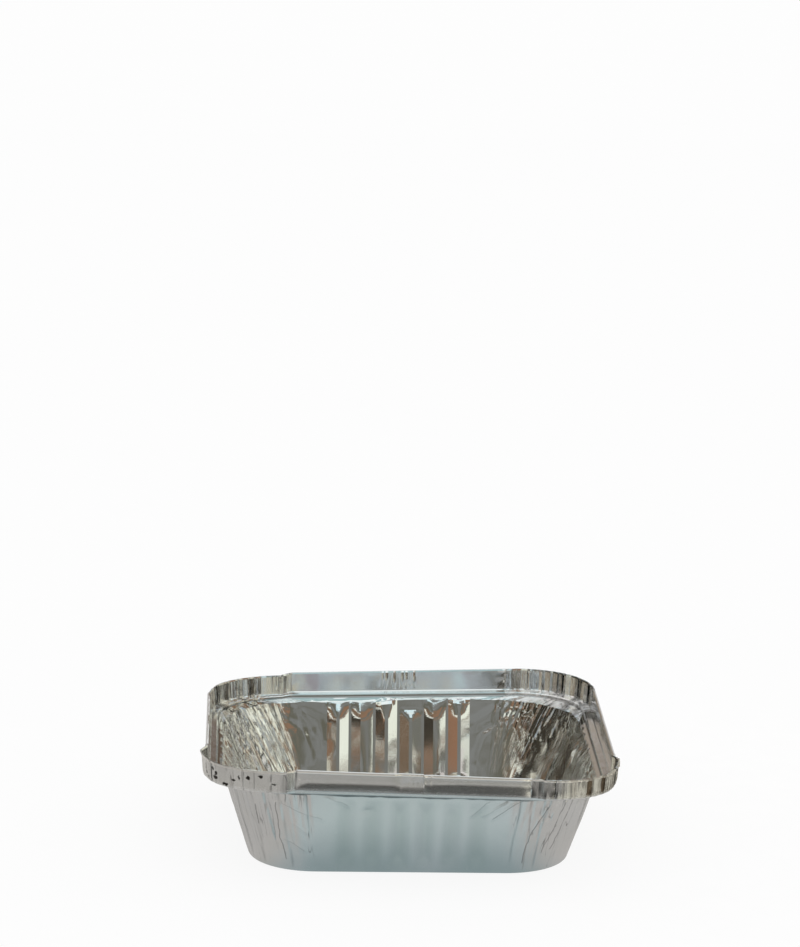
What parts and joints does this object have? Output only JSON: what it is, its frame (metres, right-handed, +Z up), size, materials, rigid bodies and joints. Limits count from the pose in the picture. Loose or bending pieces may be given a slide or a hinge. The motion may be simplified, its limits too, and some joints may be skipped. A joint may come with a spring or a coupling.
{
  "type": "foil food container",
  "caption": "Square pressed foil tray with tapered ribbed walls, gathered corners, a stepped ledge for a lid and an upright pleated flange with a hemmed edge.",
  "frame": {"origin": "on the table, under the middle of the base", "axes": "+Z up out of the open mouth, +Y to the back and +X to the right, as the tray stands in the picture"},
  "size_m": [0.1624, 0.1613, 0.0462],
  "materials": {
    "foil": "thin pressed aluminium foil, bright inside, satin outside, creased at the corners"
  },
  "bodies": {
    "root": {"tray": "foil"}
  },
  "joints": []
}
